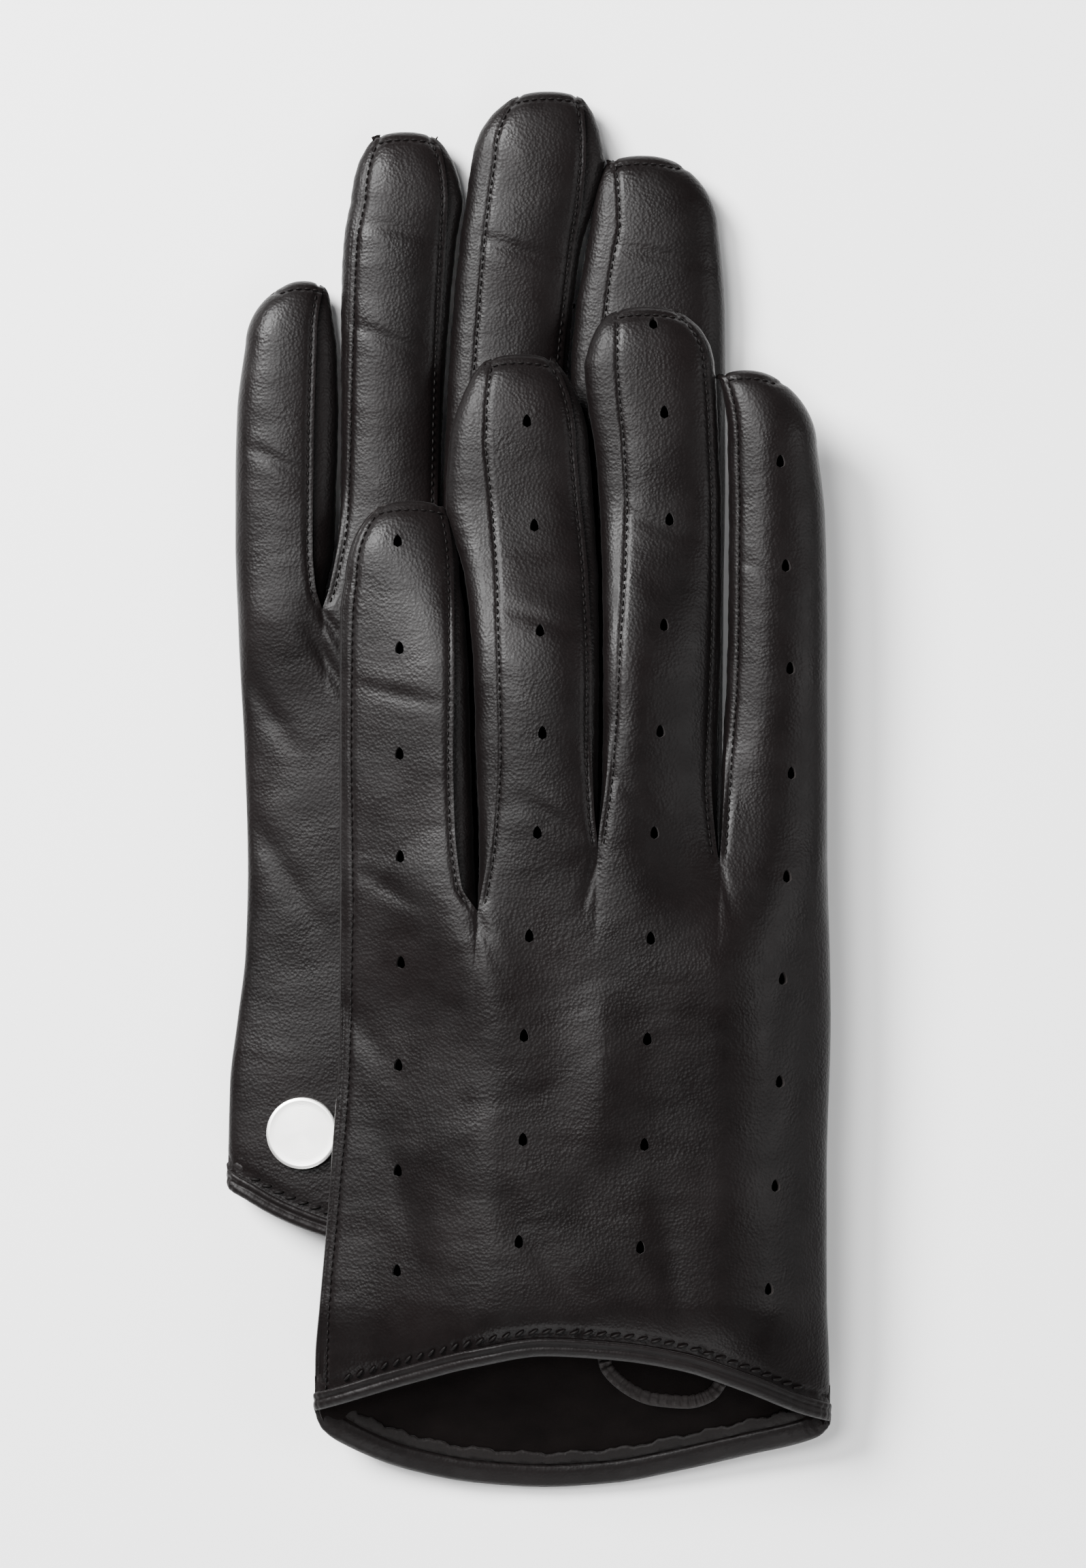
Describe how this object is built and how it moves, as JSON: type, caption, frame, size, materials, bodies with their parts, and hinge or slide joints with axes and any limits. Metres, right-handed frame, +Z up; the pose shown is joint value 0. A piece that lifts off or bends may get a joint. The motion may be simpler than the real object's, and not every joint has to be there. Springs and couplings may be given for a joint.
{
  "type": "pair of leather driving gloves",
  "caption": "A pair of dark brown unlined leather driving gloves with perforated backs, bound cuffs and a round rivet on each palm, laid palm to palm.",
  "frame": {"origin": "on the table under the middle of the pair's bounding box", "axes": "+X across the hands from the little-finger side to the index-finger side, +Y from the cuffs towards the fingertips, +Z up from the table"},
  "size_m": [0.1082, 0.2472, 0.028],
  "materials": {
    "glove_leather": "smooth dark brown glove leather with a fine grain, satin",
    "finger_side_leather": "the same leather, softly creased",
    "bound_edge": "thin leather rolled over the cuff's edge and stitched",
    "rivet_metal": "polished nickel with a finely turned face"
  },
  "bodies": {
    "right_hand": {"right_back_panel": "glove_leather", "right_palm_panel": "glove_leather", "right_cuff_binding": "bound_edge", "right_thumb_front": "glove_leather", "right_thumb_back": "glove_leather", "right_rivet_cap": "rivet_metal", "right_rivet_backing": "rivet_metal", "right_back_strips_lower": "glove_leather", "right_palm_strips_lower": "glove_leather", "right_fourchettes_lower": "finger_side_leather"},
    "left_hand": {"left_back_panel": "glove_leather", "left_palm_panel": "glove_leather", "left_cuff_binding": "bound_edge", "left_thumb_front": "glove_leather", "left_thumb_back": "glove_leather", "left_rivet_cap": "rivet_metal", "left_rivet_backing": "rivet_metal"},
    "left_little_finger": {"left_little_back_strip": "glove_leather", "left_little_palm_strip": "glove_leather", "left_little_fourchette_inner": "finger_side_leather"},
    "left_ring_finger": {"left_ring_back_strip": "glove_leather", "left_ring_palm_strip": "glove_leather", "left_ring_fourchette_inner": "finger_side_leather", "left_ring_fourchette_outer": "finger_side_leather"},
    "left_middle_finger": {"left_middle_back_strip": "glove_leather", "left_middle_palm_strip": "glove_leather", "left_middle_fourchette_inner": "finger_side_leather", "left_middle_fourchette_outer": "finger_side_leather"},
    "left_index_finger": {"left_index_back_strip": "glove_leather", "left_index_palm_strip": "glove_leather", "left_index_fourchette_outer": "finger_side_leather"},
    "right_little_fingertip": {"right_little_back_strip": "glove_leather", "right_little_palm_strip": "glove_leather", "right_little_fourchette_inner": "finger_side_leather"},
    "right_ring_fingertip": {"right_ring_back_strip": "glove_leather", "right_ring_palm_strip": "glove_leather", "right_ring_fourchette_inner": "finger_side_leather", "right_ring_fourchette_outer": "finger_side_leather"},
    "right_middle_fingertip": {"right_middle_back_strip": "glove_leather", "right_middle_palm_strip": "glove_leather", "right_middle_fourchette_inner": "finger_side_leather", "right_middle_fourchette_outer": "finger_side_leather"},
    "right_index_fingertip": {"right_index_back_strip": "glove_leather", "right_index_palm_strip": "glove_leather", "right_index_fourchette_outer": "finger_side_leather"}
  },
  "joints": [
    {"name": "left_glove_lift", "type": "slide", "parent": "right_hand", "child": "left_hand", "axis": [0, 0, 1], "range_m": [0, 0.08]},
    {"name": "left_little_knuckle", "type": "hinge", "parent": "left_hand", "child": "left_little_finger", "pos_m": [-0.02142, -0.0216, 0.02493], "axis": [1, 0, 0], "range_deg": [0, 30]},
    {"name": "left_ring_knuckle", "type": "hinge", "parent": "left_hand", "child": "left_ring_finger", "pos_m": [0.00147, -0.0118, 0.028], "axis": [1, 0, 0], "range_deg": [0, 30]},
    {"name": "left_middle_knuckle", "type": "hinge", "parent": "left_hand", "child": "left_middle_finger", "pos_m": [0.02237, -0.0118, 0.02768], "axis": [1, 0, 0], "range_deg": [0, 30]},
    {"name": "left_index_knuckle", "type": "hinge", "parent": "left_hand", "child": "left_index_finger", "pos_m": [0.04247, -0.0138, 0.02371], "axis": [1, 0, 0], "range_deg": [0, 30]},
    {"name": "right_little_curl", "type": "hinge", "parent": "right_hand", "child": "right_little_fingertip", "pos_m": [-0.04337, 0.05523, 0.01], "axis": [1, 0, 0], "range_deg": [0, 60]},
    {"name": "right_ring_curl", "type": "hinge", "parent": "right_hand", "child": "right_ring_fingertip", "pos_m": [-0.02513, 0.05784, 0.01], "axis": [1, 0, 0], "range_deg": [0, 60]},
    {"name": "right_middle_curl", "type": "hinge", "parent": "right_hand", "child": "right_middle_fingertip", "pos_m": [-0.00242, 0.08147, 0.01], "axis": [1, 0, 0], "range_deg": [0, 60]},
    {"name": "right_index_curl", "type": "hinge", "parent": "right_hand", "child": "right_index_fingertip", "pos_m": [0.02037, 0.08995, 0.01], "axis": [1, 0, 0], "range_deg": [0, 60]}
  ]
}
